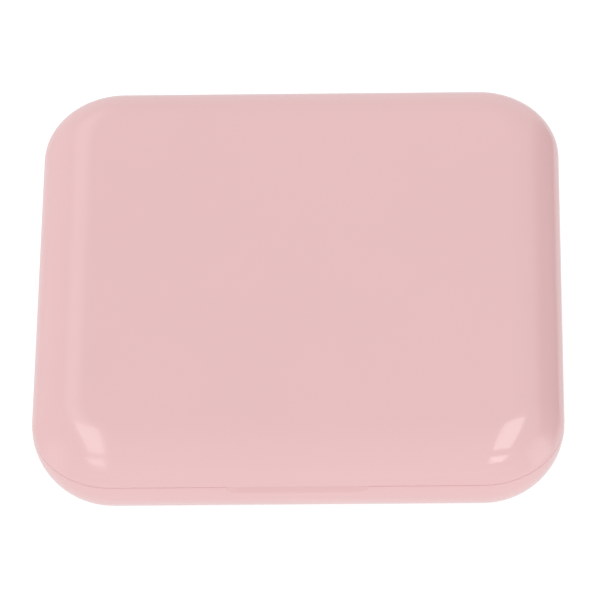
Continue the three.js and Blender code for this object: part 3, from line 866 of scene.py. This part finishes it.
def tweezers_arm(name, side):
    z0, z1 = TWEEZERS_Z
    made = arm_slab(name, arm_outline(), side, z0, z1)
    for low, high in ((z0 - 1, z0 + PAD_SLEEVE), (z1 - PAD_SLEEVE, z1 + 1)):
        y = sorted((TWEEZERS_Y, TWEEZERS_Y + side * 20))
        cut(made, block("slim", (PAD_FROM - 0.4, 40), y, (low, high)))
    groove = [(0, z0 - 1), (GROOVE_R, z0 - 1), (GROOVE_R, z1 + 1), (0, z1 + 1)]
    for x in GROOVE_XS:
        cut(made, turned("groove", groove, (x, TWEEZERS_Y + side * GROOVE_Y), segments=32))
    return soften(made, 0.28, 3, 40)


def tweezers_pad(name, side):
    z0, z1 = TWEEZERS_Z
    made = arm_slab(name, pad_outline(), side, z0, z1)
    soften(made, 0.75, 5, 50)
    left, right, tip = PAD_FROM - 1, TWEEZERS_X[1] - 1.3, TIP_GAP / 2
    room = [(left, tip - 0.53), (right, tip - 0.3), (right, tip + 1.4), (left, tip + 1.55)]
    low, high = z0 + PAD_SLEEVE - CLEAR, z1 - PAD_SLEEVE + CLEAR
    return cut(made, arm_slab("pad_room", room, side, low, high))


# ---- The suction stick, lying along X ----
def stick_handle():
    low, high = box_mm("stick_handle")
    y, z = middle("stick_handle").yz
    r = (high.y - low.y) / 2
    path = [(0, low.x), (r - 0.5, low.x, 0.5), (r, low.x + 1.2, 0.8)]
    for i in range(6):
        x = low.x + 3 + i * 1.9
        path += [(r, x - 0.5, 0.2), (r - 0.22, x, 0.35), (r, x + 0.5, 0.2)]
    path += [
        (r, low.x + 15, 2),
        (1.5, low.x + 20, 3),
        (1.5, 12, 1.5),
        (r, 15, 1.5),
        (r, 18.6, 0.3),
        (1.2, 18.6, 0.1),
        (1.2, high.x, 0.2),
        (0, high.x),
    ]
    return turned("stick", filleted(path, 5), (y, z), "X", 72)


def suction_cup():
    low, high = box_mm("stick_suction_cup")
    y, z = middle("stick_suction_cup").yz
    r = (high.y - low.y) / 2
    path = [
        (0, 23.3),
        (1.5, 23.3, 0.1),
        (1.5, low.x, 0.1),
        (2.1, low.x, 0.25),
        (2.1, 23.6, 0.8),
        (1.4, 25.2, 0.8),
        (2.2, 26.9, 1),
        (r, high.x, 0.08),
        (r - 0.5, high.x, 0.2),
        (1.7, 27.1, 0.8),
        (0, 26.2),
    ]
    return turned("suction_cup", filleted(path, 6), (y, z), "X", 72)


# ---- Pieces on their bodies ----
materials = make_materials()


def fit(piece, body, slot, node_name, *finishes):
    """Puts a piece on its body, with its finishes, in place of a CAD node. The slot is not used."""
    even_shading(piece)
    for finish in finishes:
        piece.data.materials.append(materials[finish])
    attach(piece, body)
    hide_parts(node_name)


fit(base_shell(), "base", "case_plastic", "base_shell", "gloss_pink_base")
fit(lid_shell(), "lid", "case_plastic", "lid_shell", "gloss_pink_lid")
fit(tray(), "base", "tray_plastic", "inner_tray", "satin_pink")
fit(mirror(), "lid", "mirror_glass", "mirror", "silvered_glass", "ground_glass_edge")
fit(lens_case(), "base", "white_plastic", "lens_case_body", "white")
for side, slot, finish in (("left", "rose_plastic", "rose"), ("right", "white_plastic", "white")):
    fit(hinge_pin(side), "base", "pin_steel", "hinge_pin_" + side, "drawn_steel")
    fit(well_cap(side), side + "_cap", slot, "well_cap_" + side, finish)
    fit(gasket(side), side + "_cap", "silicone", "cap_gasket_" + side, "milky_silicone")
fit(bottle(), "base", "bottle_plastic", "bottle_body", "cloudy_plastic")
fit(dropper_plug(), "base", "bottle_plastic", "bottle_dropper_plug", "cloudy_plastic")
fit(bottle_cap(), "bottle_screw_cap", "rose_plastic", "bottle_cap", "rose")
for side, towards in (("front", -1), ("back", 1)):
    body = "tweezers_" + side
    fit(tweezers_arm("arm_" + side, towards), body, "rose_plastic", "tweezers_arm_" + side, "rose")
    fit(tweezers_pad("tip_" + side, towards), body, "silicone", "tweezers_pad_" + side, "milky_silicone")
fit(stick_handle(), "base", "rose_plastic", "stick_handle", "rose")
fit(suction_cup(), "base", "silicone", "stick_suction_cup", "milky_silicone")
tape = frame["nodes"]["mirror_tape"]
tape.data.materials.clear()
tape.data.materials.append(materials["tape_foam"])

# ---- Camera, light and floor ----
VIEW_UP_DEG, VIEW_TURN_DEG, VIEW_ROLL_DEG = 50.0, -2.28, 2.24
VIEW_DISTANCE = 0.9962
VIEW_AIM_OFFSET = (-0.000022, -0.001766)  # right and up of the middle of the seam
SENSOR_MM, LENS_MM = 36.0, 372.34

# The room's light by direction: X to the right, Y to the back, Z up. A range of two numbers is a
# ramp between them, and one with a third number is a window whose sides are soft by that much.
ROOM = 0.947
BACK_Y = (-0.15, 0.3)  # the part of the room that counts as its back
DARK, DARK_X, DARK_Z = 0.0, (0.53, 1.1, 0.16), (-0.27, 0.6, 0.12)  # back right
LEFT_SHADE, LEFT_SHADE_X = 0.84, (-1.0, -0.5)  # back left
LEFT_BOX, LEFT_BOX_X, LEFT_BOX_Z = 0.8, (-0.42, -0.14, 0.09), (0.45, 1.1, 0.12)
FRONT_FILL, FRONT_FILL_Y = 0.07, (-0.95, -0.6)
RIGHT_STRIP, LEFT_STRIP = 1.0, 0.35
STRIP_X, STRIP_Y = (0.7, 0.95), (-0.5, 0.02, 0.12)
BELOW, BELOW_Z = 0.9, (-0.15, 0.0)

FLOOR_Z = -0.05  # just under the case, so that no two faces meet
FLOOR_REACH = 4000
FLOOR_GLOW, FLOOR_ALBEDO = 0.8, 0.35
CARD_HEIGHT = 600
CARDS = (  # x and y ranges over the case, and glow
    ((-285, -120), (-225, 260), 3.4),
    ((-430, -170), (-700, -405), 3.0),
    ((135, 330), (-230, 260), 3.8),
    ((140, 400), (-720, -425), 4.2),
)


def make_camera():
    up_angle, turn, roll = (math.radians(d) for d in (VIEW_UP_DEG, VIEW_TURN_DEG, VIEW_ROLL_DEG))
    level = Matrix.Rotation(-turn, 3, "Z")
    right = level @ Vector((1, 0, 0))
    up = level @ Vector((0, math.sin(up_angle), math.cos(up_angle)))
    back = level @ Vector((0, -math.cos(up_angle), math.sin(up_angle)))
    aim = Vector((0, 0, SEAM_Z * MM)) + right * VIEW_AIM_OFFSET[0] + up * VIEW_AIM_OFFSET[1]
    rolled_right = right * math.cos(roll) - up * math.sin(roll)
    rolled_up = right * math.sin(roll) + up * math.cos(roll)
    data = bpy.data.cameras.new("camera")
    data.sensor_width, data.lens = SENSOR_MM, LENS_MM
    data.clip_start, data.clip_end = 0.01, 20
    camera = bpy.data.objects.new("camera", data)
    bpy.context.scene.collection.objects.link(camera)
    axes = Matrix((rolled_right, rolled_up, back)).transposed()
    camera.matrix_world = Matrix.Translation(aim + back * VIEW_DISTANCE) @ axes.to_4x4()
    bpy.context.scene.camera = camera


def soft_window(tree, value, low, high, soft):
    """1 between low and high and 0 outside, changing from `soft` before each limit to `soft` past it."""
    rise = remap(tree, value, low - soft, low + soft, 0, 1, smooth=True)
    fall = remap(tree, value, high - soft, high + soft, 1, 0, smooth=True)
    return times(tree, rise, fall)


def room_light(tree):
    """A light room, dark at the back right, with a soft box high on the left and strips at the sides."""
    way = node(tree, "SeparateXYZ", {0: node(tree, "TexCoord").outputs["Generated"]}).outputs
    right, back, up = way["X"], way["Y"], way["Z"]
    at_back = remap(tree, back, *BACK_Y, 0, 1, smooth=True)
    dark = times(tree, soft_window(tree, right, *DARK_X), soft_window(tree, up, *DARK_Z))
    level = remap(tree, times(tree, dark, at_back), 0, 1, ROOM, DARK)
    box = times(tree, soft_window(tree, right, *LEFT_BOX_X), soft_window(tree, up, *LEFT_BOX_Z))
    level = plus(tree, level, times(tree, box, LEFT_BOX))
    level = plus(tree, level, remap(tree, back, *FRONT_FILL_Y, FRONT_FILL, 0, smooth=True))
    right_strip = remap(tree, right, *STRIP_X, 0, RIGHT_STRIP, smooth=True)
    left_strip = remap(tree, times(tree, right, -1), *STRIP_X, 0, LEFT_STRIP, smooth=True)
    strips = times(tree, plus(tree, right_strip, left_strip), soft_window(tree, back, *STRIP_Y))
    level = plus(tree, level, strips)
    shaded = times(tree, remap(tree, right, *LEFT_SHADE_X, 1, 0, smooth=True), at_back)
    level = times(tree, level, remap(tree, shaded, 0, 1, 1, LEFT_SHADE))
    return times(tree, level, remap(tree, up, *BELOW_Z, BELOW, 1, smooth=True))


def make_world():
    """The room's light for the case, and plain white behind it for the camera."""
    world = bpy.data.worlds.new("studio")
    bpy.context.scene.world = world
    world.use_nodes = True
    tree = world.node_tree
    tree.nodes.clear()
    lit = node(tree, "Background", {"Color": (1, 1, 1, 1), "Strength": room_light(tree)})
    seen = node(tree, "Background", {"Color": (1, 1, 1, 1), "Strength": 1.0})
    by_camera = node(tree, "LightPath").outputs["Is Camera Ray"]
    both = node(tree, "MixShader", {0: by_camera, 1: lit.outputs[0], 2: seen.outputs[0]})
    node(tree, "OutputWorld", {"Surface": both.outputs[0]})


def emission_material(name, strength, diffuse=0.0):
    """A glowing surface, which also scatters some of the light that falls on it."""
    made = bpy.data.materials.new(name)
    made.use_nodes = True
    tree = made.node_tree
    tree.nodes.clear()
    glow = node(tree, "Emission", {"Color": (1, 1, 1, 1), "Strength": strength})
    matt = node(tree, "BsdfDiffuse", {"Color": (diffuse, diffuse, diffuse, 1)})
    both = node(tree, "AddShader", {0: glow.outputs[0], 1: matt.outputs[0]})
    node(tree, "OutputMaterial", {"Surface": both.outputs[0]})
    return made


def panel(name, x, y, z):
    """A flat staging surface that faces up."""
    return mesh_object(name, [(*corner, z) for corner in corners(x, y)], [(0, 1, 2, 3)])


def make_floor():
    """A pale translucent table lit from below."""
    reach = (-FLOOR_REACH, FLOOR_REACH)
    floor = panel("floor", reach, reach, FLOOR_Z)
    floor.data.materials.append(emission_material("lit_table", FLOOR_GLOW, FLOOR_ALBEDO))
    floor.visible_glossy = False


def make_cards():
    """Soft boxes over the case, seen only in its gloss."""
    for number, (x, y, glow) in enumerate(CARDS):
        name = "card_%d" % number
        card = panel(name, x, y, CARD_HEIGHT)
        card.data.materials.append(emission_material(name, glow))
        card.visible_camera = False
        card.visible_diffuse = False
        card.visible_transmission = False
        card.visible_shadow = False


make_camera()
make_world()
make_floor()
make_cards()
bpy.context.scene.view_settings.view_transform = "Standard"
